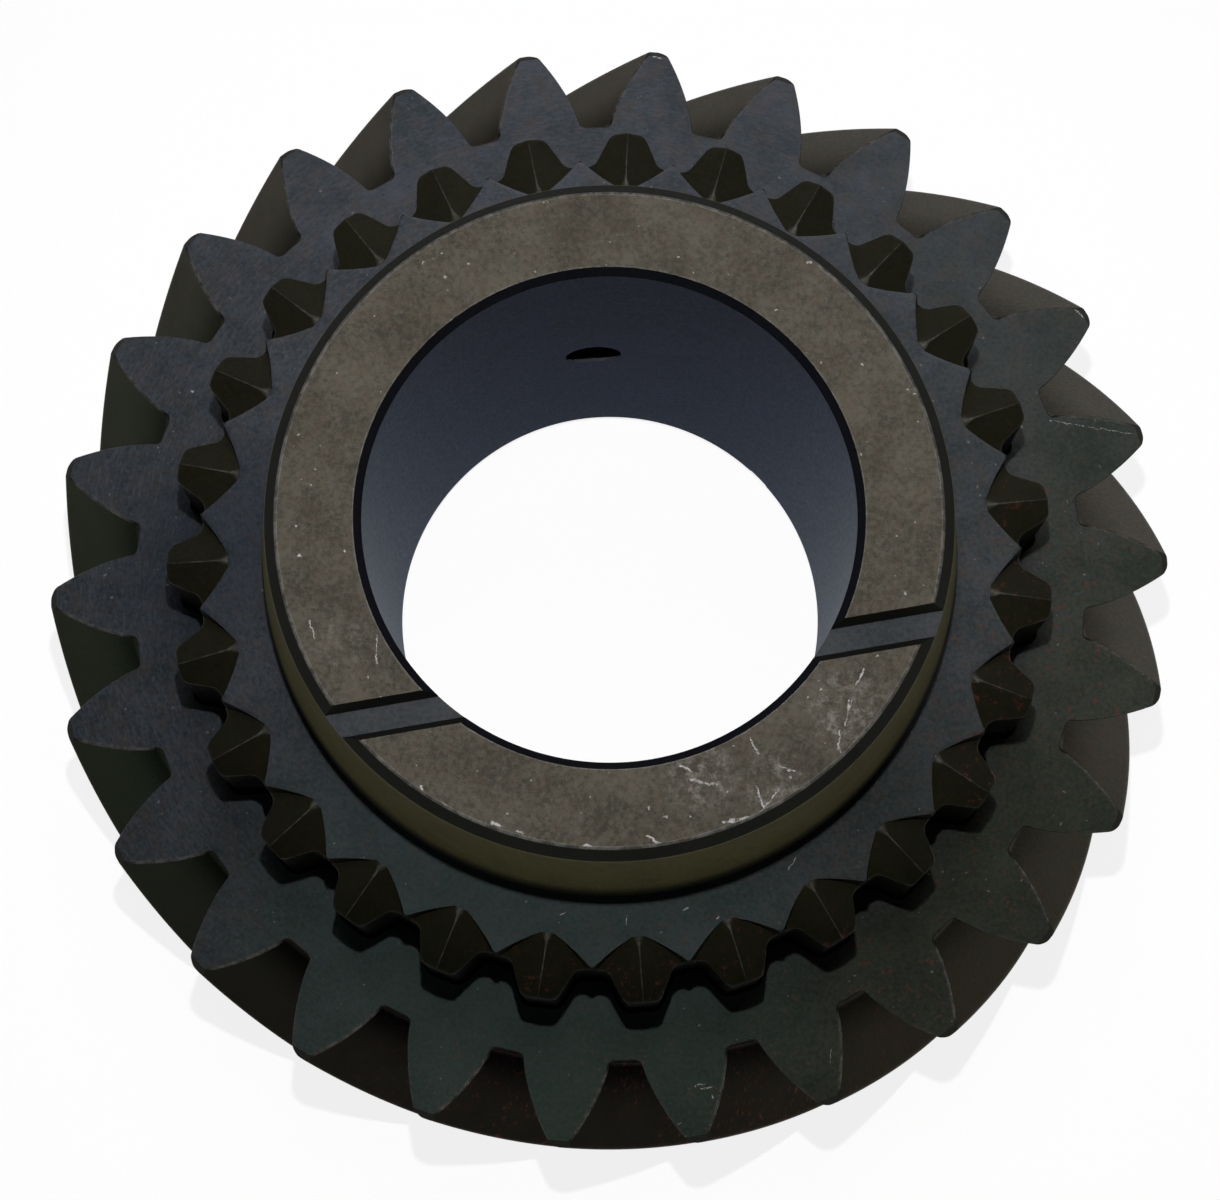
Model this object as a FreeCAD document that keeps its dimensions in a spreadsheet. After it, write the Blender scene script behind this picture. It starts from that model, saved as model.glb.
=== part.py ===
import FreeCAD, Part
import math
import os

import Sketcher

os.makedirs("parts", exist_ok=True)
doc = FreeCAD.newDocument("SpeedGear")

# Driving dimensions: millimetres, degrees and plain counts
SIZES = [
    ("bore_radius", 20.0),
    ("bore_chamfer", 0.65),
    ("total_height", 49.8),
    ("face_width", 20.7),
    ("ring_height", 33.0),
    ("cone_foot_radius", 29.75),
    ("cone_top_radius", 27.9),
    ("cone_chamfer", 1.0),
    ("foot_groove_width", 0.5),
    ("foot_groove_depth", 0.35),
    ("edge_chamfer", 0.6),
    ("tooth_count", 26),
    ("normal_module", 3.0),
    ("helix_angle", 32.0),
    ("pressure_angle", 21.5),
    ("addendum", 4.3),
    ("dedendum", 3.3),
    ("tooth_thickness", 5.9),
    ("tooth_clocking", 1.4),
    ("root_fillet", 0.7),
    ("dog_count", 27),
    ("dog_clocking", 7.24),
    ("dog_tip_radius", 38.2),
    ("dog_root_radius", 35.4),
    ("dog_tip_thickness", 2.94),
    ("dog_root_thickness", 5.56),
    ("ridge_radius", 33.9),
    ("ridge_fall", 11.7),
    ("roof_slope", 24.0),
    ("pointing_cutter_radius", 16.0),
    ("pointing_start", -1.45),
    ("pointing_lean", 37.0),
    ("slot_offset", 13.1),
    ("slot_width", 3.1),
    ("slot_depth", 1.0),
    ("slot_wall_angle", 30.0),
    ("slot_turn", 9.45),
    ("oil_hole_diameter", 5.0),
    ("oil_hole_height", 24.6),
    ("oil_hole_count", 3),
    ("back_groove_turn", 43.5),
    ("back_groove_reach", 29.0),
]
sheet = doc.addObject("Spreadsheet::Sheet", "Dimensions")
for row, (alias, value) in enumerate(SIZES, start=1):
    sheet.set("A%d" % row, alias)
    sheet.set("B%d" % row, str(value))
    sheet.setAlias("B%d" % row, alias)
doc.recompute()


def size(alias):
    return float(sheet.get(alias))


def cell(alias):
    return "Dimensions." + alias


def vector(x, y, z=0.0):
    return FreeCAD.Vector(x, y, z)


body = doc.addObject("PartDesign::Body", "Gear")
body.Label = "transmission_gear"
PLANES = {item.Role: item for item in body.Origin.OriginFeatures}


def sketch_on(name, plane, height=None, turn=None):
    """A sketch on an origin plane or datum plane, raised and turned by expressions."""
    sketch = body.newObject("Sketcher::SketchObject", name)
    sketch.AttachmentSupport = [(plane, "")]
    sketch.MapMode = "FlatFace"
    if height:
        sketch.setExpression(".AttachmentOffset.Base.z", height)
    if turn:
        sketch.setExpression(".AttachmentOffset.Rotation.Angle", turn)
    return sketch


def closed_outline(sketch, points):
    """Straight lines joined end to end through the points and back to the first."""
    first = sketch.GeometryCount
    total = len(points)
    for index in range(total):
        start = points[index]
        end = points[(index + 1) % total]
        sketch.addGeometry(Part.LineSegment(vector(*start), vector(*end)), False)
    for index in range(total):
        following = first + (index + 1) % total
        sketch.addConstraint(Sketcher.Constraint("Coincident", first + index, 2, following, 1))
    return first


def fix_point(sketch, line, across, up):
    """Ties the start of a line to two expressions measured from the sketch origin."""
    for kind, text in (("DistanceX", across), ("DistanceY", up)):
        value = sketch.evalExpression(text)
        number = getattr(value, "Value", value)
        place = sketch.addConstraint(Sketcher.Constraint(kind, -1, 1, line, 1, float(number)))
        sketch.setExpression("Constraints[%d]" % place, text)


# Helical teeth: one closed outline of all the teeth, lofted down the helix
pitch_radius = "%s * %s / 2 / cos(%s * 1 deg)" % (
    cell("normal_module"),
    cell("tooth_count"),
    cell("helix_angle"),
)
tip_radius = "(%s + %s)" % (pitch_radius, cell("addendum"))


def number_of(text):
    value = sheet.evalExpression(text)
    return float(getattr(value, "Value", value))


pitch_circle = number_of(pitch_radius)
helix = math.radians(size("helix_angle"))
transverse_angle = math.atan(math.tan(math.radians(size("pressure_angle"))) / math.cos(helix))
base_circle = pitch_circle * math.cos(transverse_angle)
root_circle = pitch_circle - size("dedendum")
tip_circle = pitch_circle + size("addendum")
half_pitch = math.pi / size("tooth_count")


def involute(angle):
    return math.tan(angle) - angle


def half_tooth_angle(radius):
    """Half of the tooth's angular thickness on a circle of this radius."""
    at_pitch = size("tooth_thickness") / 2 / pitch_circle
    slope = math.acos(min(1.0, base_circle / radius))
    return at_pitch + involute(transverse_angle) - involute(slope)


def polar(radius, angle):
    return vector(radius * math.cos(angle), radius * math.sin(angle))


FLANK_STEPS = 5


def toothed_outline(sketch):
    """Root arc, fillet, involute flank, tip land, involute flank and fillet for each tooth."""
    fillet = size("root_fillet")
    start_radius = root_circle + fillet * 0.75
    step = (tip_circle - start_radius) / FLANK_STEPS
    radii = [start_radius + step * n for n in range(FLANK_STEPS + 1)]
    foot = half_tooth_angle(start_radius)
    floor = foot + fillet * 0.85 / root_circle
    corner_angle = foot + fillet * 0.25 / root_circle
    corner_radius = root_circle + fillet * 0.22
    for tooth in range(int(size("tooth_count"))):
        middle = 2 * half_pitch * tooth
        rising = [polar(r, middle - half_tooth_angle(r)) for r in radii]
        falling = [polar(r, middle + half_tooth_angle(r)) for r in reversed(radii)]
        before = polar(root_circle, middle - floor)
        after = polar(root_circle, middle + floor)
        following = polar(root_circle, middle + 2 * half_pitch - floor)
        sketch.addGeometry(
            Part.Arc(before, polar(corner_radius, middle - corner_angle), rising[0]), False
        )
        flank = Part.BSplineCurve()
        flank.interpolate(rising)
        sketch.addGeometry(flank, False)
        sketch.addGeometry(Part.Arc(rising[-1], polar(tip_circle, middle), falling[0]), False)
        flank = Part.BSplineCurve()
        flank.interpolate(falling)
        sketch.addGeometry(flank, False)
        sketch.addGeometry(
            Part.Arc(falling[-1], polar(corner_radius, middle + corner_angle), after), False
        )
        floor_middle = polar(root_circle, middle + half_pitch)
        sketch.addGeometry(Part.Arc(after, floor_middle, following), False)


LOFT_STEPS = 5
levels = []
for step in range(LOFT_STEPS + 1):
    share = step / LOFT_STEPS
    height = "%s * %.6f" % (cell("face_width"), share)
    turn = "%s + tan(%s * 1 deg) / (%s) * %s * %.6f * 180 / pi" % (
        cell("tooth_clocking"),
        cell("helix_angle"),
        pitch_radius,
        cell("face_width"),
        1 - share,
    )
    sketch = sketch_on("ToothedOutline%d" % step, PLANES["XY_Plane"], height, turn)
    toothed_outline(sketch)
    levels.append(sketch)
doc.recompute()
toothed_rim = body.newObject("PartDesign::AdditiveLoft", "ToothedRim")
toothed_rim.Profile = levels[0]
toothed_rim.Sections = levels[1:]
toothed_rim.Ruled = False
toothed_rim.Closed = False
doc.recompute()


def turned_section(name, points):
    """A section of straight lines whose corners are tied to expressions."""
    sketch = sketch_on(name, PLANES["XZ_Plane"])
    first_line = closed_outline(sketch, [(number_of(a), number_of(b)) for a, b in points])
    for index, (across, up) in enumerate(points):
        fix_point(sketch, first_line + index, across, up)
    doc.recompute()
    return sketch


# Turned parts above the teeth: dog ring, relief groove, cone and end face
relief_radius = "%s + %s" % (cell("cone_foot_radius"), cell("foot_groove_width"))
relief_floor = "%s - %s" % (cell("ring_height"), cell("foot_groove_depth"))
blank = body.newObject("PartDesign::Revolution", "DogRingAndCone")
blank.Profile = turned_section(
    "TurnedSection",
    [
        (cell("bore_radius") + " - 2", cell("face_width") + " - 2"),
        (cell("dog_tip_radius"), cell("face_width") + " - 2"),
        (cell("dog_tip_radius"), cell("ring_height")),
        (relief_radius, cell("ring_height")),
        (relief_radius, relief_floor),
        (cell("cone_foot_radius"), relief_floor),
        (cell("cone_foot_radius"), cell("ring_height")),
        (cell("cone_top_radius"), "%s - %s" % (cell("total_height"), cell("cone_chamfer"))),
        ("%s - %s" % (cell("cone_top_radius"), cell("cone_chamfer")), cell("total_height")),
        (cell("bore_radius") + " - 2", cell("total_height")),
    ],
)
blank.ReferenceAxis = (blank.Profile[0], ["V_Axis"])
blank.Angle = 360.0
doc.recompute()


def groove(name, points):
    cut = body.newObject("PartDesign::Groove", name)
    cut.Profile = turned_section(name + "Section", points)
    cut.ReferenceAxis = (cut.Profile[0], ["V_Axis"])
    cut.Angle = 360.0
    doc.recompute()
    return cut


# Bore with a chamfer at each end
bore_mouth = "%s + %s" % (cell("bore_radius"), cell("bore_chamfer"))
groove(
    "Bore",
    [
        ("0", "-1"),
        (bore_mouth, "-1"),
        (bore_mouth, "0"),
        (cell("bore_radius"), cell("bore_chamfer")),
        (cell("bore_radius"), "%s - %s" % (cell("total_height"), cell("bore_chamfer"))),
        (bore_mouth, cell("total_height")),
        (bore_mouth, cell("total_height") + " + 1"),
        ("0", cell("total_height") + " + 1"),
    ],
)
groove(
    "RimChamferTop",
    [
        ("%s - %s" % (tip_radius, cell("edge_chamfer")), cell("face_width")),
        (tip_radius + " + 1", "%s - %s - 1" % (cell("face_width"), cell("edge_chamfer"))),
        (tip_radius + " + 1", cell("face_width") + " + 1"),
        ("%s - %s" % (tip_radius, cell("edge_chamfer")), cell("face_width") + " + 1"),
    ],
)
groove(
    "RimChamferBack",
    [
        ("%s - %s" % (tip_radius, cell("edge_chamfer")), "-1"),
        (tip_radius + " + 1", "-1"),
        (tip_radius + " + 1", cell("edge_chamfer") + " + 1"),
        ("%s - %s" % (tip_radius, cell("edge_chamfer")), "0"),
    ],
)


def polar_pattern(name, originals, count):
    pattern = body.newObject("PartDesign::PolarPattern", name)
    pattern.Originals = originals
    pattern.Axis = (PLANES["Z_Axis"], [""])
    pattern.Angle = 360.0
    pattern.Occurrences = int(size(count))
    pattern.setExpression("Occurrences", cell(count))
    body.Tip = pattern
    doc.recompute()
    return pattern


# Dog teeth: straight-sided spaces cut down to the web face
def datum_plane(name, support, height=None, turn=None, axis=None, shift=None):
    plane = body.newObject("PartDesign::Plane", name)
    plane.AttachmentSupport = [(support, "")]
    plane.MapMode = "FlatFace"
    if axis:
        plane.AttachmentOffset = FreeCAD.Placement(vector(0, 0), FreeCAD.Rotation(axis, 1.0))
    if height:
        plane.setExpression(".AttachmentOffset.Base.z", height)
    if turn:
        plane.setExpression(".AttachmentOffset.Rotation.Angle", turn)
    if shift:
        plane.setExpression(".AttachmentOffset.Base.x", shift)
    return plane


dog_turn = "%s + 180 / %s" % (cell("dog_clocking"), cell("dog_count"))
dog_space = sketch_on("DogSpace", PLANES["XY_Plane"], cell("total_height"), dog_turn)
dog_half_pitch = math.pi / size("dog_count")
dog_root = size("dog_root_radius")
dog_tip = size("dog_tip_radius")
root_half = dog_half_pitch - size("dog_root_thickness") / 2 / dog_root
tip_half = dog_half_pitch - size("dog_tip_thickness") / 2 / dog_tip
floor_left = polar(dog_root, -root_half)
floor_right = polar(dog_root, root_half)
mouth_left = polar(dog_tip, -tip_half)
mouth_right = polar(dog_tip, tip_half)
outer_left = mouth_left + (mouth_left - floor_left) * 0.2
outer_right = mouth_right + (mouth_right - floor_right) * 0.2
dog_space.addGeometry(Part.Arc(floor_left, vector(dog_root, 0), floor_right), False)
dog_space.addGeometry(Part.LineSegment(floor_right, outer_right), False)
dog_space.addGeometry(Part.LineSegment(outer_right, outer_left), False)
dog_space.addGeometry(Part.LineSegment(outer_left, floor_left), False)
dog_cut = body.newObject("PartDesign::Pocket", "DogSpaceCut")
dog_cut.Profile = dog_space
dog_cut.Type = 0
dog_cut.setExpression("Length", "%s - %s" % (cell("total_height"), cell("face_width")))
doc.recompute()

# Pointing: each dog tooth ends in two falling faces that meet in a radial ridge
tooth_axis = datum_plane(
    "DogToothAxis", PLANES["XY_Plane"], cell("ring_height"), cell("dog_clocking"), vector(0, 0, 1)
)
ridge_plane = datum_plane(
    "RidgePlane", tooth_axis, None, cell("ridge_fall"), vector(0, 1, 0), cell("ridge_radius")
)
REACH = 9.0
ACROSS = 2.5
POINTING_DEPTH = 5.0
pointing = []
for side, name in ((1, "Leading"), (-1, "Trailing")):
    roof = datum_plane(
        name + "Roof", ridge_plane, None, "%d * %s" % (-side, cell("roof_slope")), vector(1, 0, 0)
    )
    sketch = sketch_on(name + "Pointing", roof)
    cutter = size("pointing_cutter_radius")
    lean = math.radians(size("pointing_lean"))
    start = vector(size("pointing_start"), 0)
    sideways = dog_root * math.sin(dog_half_pitch) * math.cos(math.radians(size("roof_slope"))) + 0.1
    end = start + vector(math.tan(lean) * sideways, sideways * side)
    chord = end - start
    middle = (start + end) * 0.5
    across = vector(chord.y * side, -chord.x * side)
    across.normalize()
    sagitta = cutter - math.sqrt(cutter * cutter - chord.Length * chord.Length / 4)
    bulge = middle - across * sagitta
    near = vector(start.x, -ACROSS * side)
    far = vector(REACH, -ACROSS * side)
    far_side = vector(REACH, sideways * side)
    sketch.addGeometry(Part.LineSegment(start, near), False)
    sketch.addGeometry(Part.LineSegment(near, far), False)
    sketch.addGeometry(Part.LineSegment(far, far_side), False)
    sketch.addGeometry(Part.LineSegment(far_side, end), False)
    sketch.addGeometry(Part.Arc(end, bulge, start), False)
    doc.recompute()
    cut = body.newObject("PartDesign::Pocket", name + "PointingCut")
    cut.Profile = sketch
    cut.Type = 0
    cut.Length = POINTING_DEPTH
    cut.Reversed = True
    doc.recompute()
    pointing.append(cut)
dog_teeth = polar_pattern("DogTeeth", [dog_cut] + pointing, "dog_count")

# Oil slot across the end face, off the axis, with leaning walls
slot_frame = datum_plane(
    "SlotFrame", PLANES["XY_Plane"], cell("total_height"), cell("slot_turn"), vector(0, 0, 1)
)
slot_cross = datum_plane("SlotCross", slot_frame, None, "120", vector(1, 1, 1))


def trapezoid(sketch, centre, up):
    """Slot section: wide at the open face, narrower at the floor, up is +1 or -1."""
    half = size("slot_width") / 2
    lean = math.tan(math.radians(size("slot_wall_angle")))
    depth = size("slot_depth")
    clear = 1.0
    corners = [
        (centre - half - lean * clear, up * clear),
        (centre + half + lean * clear, up * clear),
        (centre + half - lean * depth, -up * depth),
        (centre - half + lean * depth, -up * depth),
    ]
    closed_outline(sketch, corners)


slot_section = sketch_on("OilSlotSection", slot_cross)
trapezoid(slot_section, -size("slot_offset"), 1)
doc.recompute()
oil_slot = body.newObject("PartDesign::Pocket", "OilSlot")
oil_slot.Profile = slot_section
oil_slot.Midplane = True
oil_slot.Type = 0
oil_slot.setExpression("Length", "4 * " + cell("cone_foot_radius"))
doc.recompute()

# Radial oil holes leave the bore between two dog teeth
hole_turn = "%s + 180 / %s + 6 * 360 / %s" % (
    cell("dog_clocking"),
    cell("dog_count"),
    cell("dog_count"),
)
hole_frame = datum_plane(
    "OilHoleFrame", PLANES["XY_Plane"], cell("oil_hole_height"), hole_turn, vector(0, 0, 1)
)
hole_face = datum_plane("OilHoleFace", hole_frame, None, "120", vector(1, 1, 1))
hole_circle = sketch_on("OilHoleCircle", hole_face)
hole_circle.addGeometry(Part.Circle(vector(0, 0), vector(0, 0, 1), size("oil_hole_diameter") / 2), False)
hole_circle.addConstraint(Sketcher.Constraint("Coincident", 0, 3, -1, 1))
place = hole_circle.addConstraint(Sketcher.Constraint("Diameter", 0, size("oil_hole_diameter")))
hole_circle.setExpression("Constraints[%d]" % place, cell("oil_hole_diameter"))
doc.recompute()
oil_hole = body.newObject("PartDesign::Pocket", "OilHole")
oil_hole.Profile = hole_circle
oil_hole.Type = 0
oil_hole.Reversed = True
oil_hole.setExpression("Length", cell("dog_tip_radius") + " + 1")
doc.recompute()
oil_holes = polar_pattern("OilHoles", [oil_hole], "oil_hole_count")

# Shallow oil groove in the back face, running out from the bore
groove_frame = datum_plane(
    "BackGrooveFrame", PLANES["XY_Plane"], None, cell("back_groove_turn"), vector(0, 0, 1)
)
groove_cross = datum_plane("BackGrooveCross", groove_frame, None, "120", vector(1, 1, 1))
groove_section = sketch_on("BackGrooveSection", groove_cross)
trapezoid(groove_section, 0.0, -1)
doc.recompute()
back_groove = body.newObject("PartDesign::Pocket", "BackGroove")
back_groove.Profile = groove_section
back_groove.Type = 0
back_groove.Reversed = True
back_groove.setExpression("Length", cell("back_groove_reach"))
body.Tip = back_groove
doc.recompute()

for item in doc.Objects:
    if "Invalid" in item.State or "Error" in item.State:
        raise RuntimeError("%s did not compute: %s" % (item.Name, item.State))
    if item.isDerivedFrom("PartDesign::Feature"):
        if item.Shape.isNull() or not item.Shape.isValid():
            raise RuntimeError("%s has no valid shape" % item.Name)
        print(item.Name, round(item.Shape.Volume, 1), len(item.Shape.Faces))

shape = body.Shape
print("solids", len(shape.Solids), "faces", len(shape.Faces), "volume", round(shape.Volume, 1))
print("box", shape.BoundBox)
shape.exportStep("parts/%s.step" % body.Label)
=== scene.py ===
"""Looks of a helical gearbox gear with a ring of pointed dog teeth and a friction cone.

Lengths are in millimetres until the mesh is made, and angles in radians. Lamps, floor and
camera are placed in metres.
"""

import math

import bmesh
import bpy
import numpy as np
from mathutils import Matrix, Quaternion, Vector


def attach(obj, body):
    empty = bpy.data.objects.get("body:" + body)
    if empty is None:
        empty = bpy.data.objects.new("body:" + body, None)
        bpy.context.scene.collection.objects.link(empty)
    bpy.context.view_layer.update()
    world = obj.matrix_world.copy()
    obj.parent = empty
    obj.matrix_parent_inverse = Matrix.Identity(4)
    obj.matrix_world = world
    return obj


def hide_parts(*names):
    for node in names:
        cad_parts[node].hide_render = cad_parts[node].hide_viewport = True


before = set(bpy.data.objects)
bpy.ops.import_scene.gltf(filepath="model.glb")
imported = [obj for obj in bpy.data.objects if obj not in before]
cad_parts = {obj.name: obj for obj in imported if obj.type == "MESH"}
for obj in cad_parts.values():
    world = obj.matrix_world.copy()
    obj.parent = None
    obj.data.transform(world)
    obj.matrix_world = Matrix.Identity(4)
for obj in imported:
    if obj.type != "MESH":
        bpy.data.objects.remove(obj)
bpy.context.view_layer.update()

MM = 0.001
NODE = "transmission_gear"

# Bore, end face and cone
BORE_RADIUS = 20.0
BORE_CHAMFER = 0.65
TOTAL_HEIGHT = 49.8
CONE_TOP_RADIUS = 27.9
CONE_CHAMFER = 1.0
LIP_RADIUS = 29.5
LIP_HEIGHT = 36.0
NECK_RADIUS = 29.1
NECK_FILLET = 0.25

# Helical teeth
FACE_WIDTH = 20.7
TOOTH_COUNT = 26
NORMAL_MODULE = 3.0
HELIX = math.radians(32.0)
NORMAL_PRESSURE = math.radians(21.5)
ADDENDUM = 4.3
DEDENDUM = 3.3
TOOTH_THICKNESS = 5.9
TOOTH_CLOCKING = math.radians(1.4)
ROOT_FILLET = 0.7
TIP_ROUND = 0.4
TIP_CHAMFER = 0.6
FLANK_CHAMFER = 0.12
HELIX_LOOPS = 15
HELIX_LOOP_INSET = 1.5
EDGE_SUPPORT = 0.12
FACE_SUPPORT_BY_FLANK = 2.2 * FLANK_CHAMFER
FACE_SUPPORT_BY_TIP = 0.15
# Edges are painted bright, partly as rubbing and partly as highlight, only this far above the root
WORN_ABOVE_ROOT = 1.2

# Root fillet: rise, run and the point that bends it (up, along), as shares of ROOT_FILLET
FILLET_RISE = 0.75
FILLET_RUN = 0.85
FILLET_BEND = (0.06, 0.08)

PITCH_RADIUS = NORMAL_MODULE * TOOTH_COUNT / 2 / math.cos(HELIX)
TIP_RADIUS = PITCH_RADIUS + ADDENDUM
ROOT_RADIUS = PITCH_RADIUS - DEDENDUM
TRANSVERSE_PRESSURE = math.atan(math.tan(NORMAL_PRESSURE) / math.cos(HELIX))
BASE_RADIUS = PITCH_RADIUS * math.cos(TRANSVERSE_PRESSURE)
HALF_TOOTH_PITCH = math.pi / TOOTH_COUNT
CHAMFER_START = TIP_RADIUS - TIP_CHAMFER

# Dog ring
RING_HEIGHT = 33.0
DOG_COUNT = 27
DOG_CLOCKING = math.radians(7.24)
DOG_TIP_RADIUS = 38.2
DOG_ROOT_RADIUS = 35.4
DOG_TIP_HALF = 1.47
DOG_ROOT_HALF = 2.78
DOG_TIP_ROUND = 0.45
DOG_ROOT_ROUND = 0.6
DOG_EDGE = 0.08
DOG_FOOT_FILLET = 0.35
RIDGE_RADIUS = 33.9
RIDGE_FALL = math.radians(11.7)
ROOF_SLOPE = math.radians(24.0)
POINTING_CUTTER_RADIUS = 16.0
POINTING_START = -1.45
POINTING_LEAN = math.radians(37.0)
POINTING_MARGIN = 0.1
HALF_DOG_PITCH = math.pi / DOG_COUNT

# Loops of the dog ring: insets from the outline, least width of the step, spacing over the roof
BROW_SUPPORTS = (0.5, 0.05)
BROW_INSET = 0.16
FOOT_INSET = 0.12
STEP_WIDTH = 0.02
BROW_DROP = 0.01
RIDGE_DROP = 0.012
ROOF_SHARES = (0.0, 0.15, 0.32, 0.5, 0.68, 0.85, 0.95, 1.0)
# Share of the ridge's painted highlight that dies away across the roof
RIDGE_WEAR_LOST = 0.7
WALL_SHARES = (0.06, 0.5, 1.0)
WEB_RADII = (39.9, 41.2)

# Slot, oil holes and back groove
SLOT_OFFSET = 13.1
SLOT_WIDTH = 3.1
SLOT_DEPTH = 1.0
SLOT_WALL_ANGLE = math.radians(30.0)
SLOT_TURN = math.radians(9.45)
OIL_HOLE_RADIUS = 2.5
OIL_HOLE_HEIGHT = 24.6
OIL_HOLE_COUNT = 3
OIL_HOLE_TURN = DOG_CLOCKING + 13 * HALF_DOG_PITCH
BACK_GROOVE_TURN = math.radians(43.5)
BACK_GROOVE_REACH = 29.0
CUTTER_START = 5.0
HOLE_SIDES = 48

# Points round the gear: both tooth counts divide the outer number
AROUND = 2 * TOOTH_COUNT * DOG_COUNT
HUB_SHARE = 3
HUB_AROUND = AROUND // HUB_SHARE

# Steps along half an outline: a tooth's add up to DOG_COUNT, a dog tooth's to TOOTH_COUNT
LAND_STEPS = 3
CORNER_STEPS = 4
TOOTH_FLANK_STEPS = 10
DOG_FLANK_STEPS = 8
FILLET_STEPS = 5
FLOOR_STEPS = 5

# Light: brightness of the sky at the horizon, overhead and how far up it falls, lamps in watts
HORIZON = 0.32
ZENITH = 0.022
SKY_FALL = 0.4
PANEL_WATTS = 3.1
SIDE_WATTS = 0.12
NEAR_WATTS = 0.7

# Floor: share of plain white light in what the camera sees, half width and depth in metres
FLOOR_GLOW = 0.85
FLOOR_SPAN = 3.0
FLOOR_DEPTH = 0.0002

# Finishes, in the order of the gear's materials
FINISHES = [
    "ground",
    "chamfer",
    "cone",
    "web",
    "flank",
    "tip",
    "dog_roof",
    "dog_wall",
    "bore",
    "mouth",
    "cut",
]
FINISH = {name: index for index, name in enumerate(FINISHES)}
SHARP_ANGLE = math.radians(32.0)


def involute(angle):
    """Tangent of the angle minus the angle."""
    return np.tan(angle) - angle


def half_tooth_angle(radius):
    """Half the tooth's angular thickness: the pitch value plus the difference of involutes."""
    slope = np.arccos(np.minimum(1.0, BASE_RADIUS / radius))
    return TOOTH_THICKNESS / 2 / PITCH_RADIUS + involute(TRANSVERSE_PRESSURE) - involute(slope)


def curve(start, middle, end, steps):
    """Quadratic curve from start to end pulled towards middle, without its last point."""
    start, middle, end = np.array(start), np.array(middle), np.array(end)
    t = np.arange(steps)[:, None] / steps
    return (1 - t) ** 2 * start + 2 * t * (1 - t) * middle + t * t * end


def straight(start, end, steps):
    """Evenly spaced points from start to end, without the last one."""
    t = np.arange(steps)[:, None] / steps
    return (1 - t) * np.array(start) + t * np.array(end)


def all_round(half, count, clocking):
    """Mirrors half a tooth of (radius, angle) rows and repeats it counter-clockwise."""
    pitch = 2 * math.pi / count
    mirrored = half[:0:-1] * [1, -1] + [0, pitch]
    one = np.concatenate([half[:-1], mirrored])
    radius = np.tile(one[:, 0], count)
    angle = clocking + (pitch * np.arange(count)[:, None] + one[:, 1]).ravel()
    return radius, angle


def plan(radius, angle):
    """Plan points from radii and angles."""
    return np.stack([radius * np.cos(angle), radius * np.sin(angle)], axis=1)


def outset(points, distance):
    """Moves a closed counter-clockwise outline along its outward normals."""
    along = np.roll(points, -1, axis=0) - np.roll(points, 1, axis=0)
    outward = np.stack([along[:, 1], -along[:, 0]], axis=1)
    outward /= np.linalg.norm(outward, axis=1, keepdims=True)
    return points + outward * np.reshape(distance, (-1, 1))


def turned(points, angle):
    """Turns plan points about the bore axis, all by one angle or each by its own."""
    x = points[:, 0] * np.cos(angle) - points[:, 1] * np.sin(angle)
    y = points[:, 0] * np.sin(angle) + points[:, 1] * np.cos(angle)
    return np.column_stack([x, y])


def at_height(points, height):
    """Plan points lifted to one height, or each to its own."""
    column = np.broadcast_to(np.asarray(height, float), (len(points),))
    return np.column_stack([points, column])


def tooth_outline():
    """Tip land, rounded corner, involute flank, fillet and root floor in the plane of rotation."""
    tip_angle = half_tooth_angle(TIP_RADIUS)
    flank_top = TIP_RADIUS - TIP_ROUND
    flank_foot = ROOT_RADIUS + FILLET_RISE * ROOT_FILLET
    foot_angle = half_tooth_angle(flank_foot)
    floor_angle = foot_angle + FILLET_RUN * ROOT_FILLET / ROOT_RADIUS
    corner = (TIP_RADIUS, tip_angle)
    corner_start = (TIP_RADIUS, tip_angle - TIP_ROUND / TIP_RADIUS)
    corner_end = (flank_top, half_tooth_angle(flank_top))
    lower_flank = np.linspace(CHAMFER_START, flank_foot, TOOTH_FLANK_STEPS)[:-1]
    flank_radius = np.concatenate([[flank_top], lower_flank])
    flank = np.column_stack([flank_radius, half_tooth_angle(flank_radius)])
    bend_up, bend_along = FILLET_BEND
    fillet_bend = (
        ROOT_RADIUS + bend_up * ROOT_FILLET,
        foot_angle + bend_along * ROOT_FILLET / ROOT_RADIUS,
    )
    half = np.concatenate(
        [
            straight((TIP_RADIUS, 0.0), corner_start, LAND_STEPS),
            curve(corner_start, corner, corner_end, CORNER_STEPS),
            flank,
            curve((flank_foot, foot_angle), fillet_bend, (ROOT_RADIUS, floor_angle), FILLET_STEPS),
            straight((ROOT_RADIUS, floor_angle), (ROOT_RADIUS, HALF_TOOTH_PITCH), FLOOR_STEPS),
            [(ROOT_RADIUS, HALF_TOOTH_PITCH)],
        ]
    )
    return all_round(half, TOOTH_COUNT, TOOTH_CLOCKING)


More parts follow.
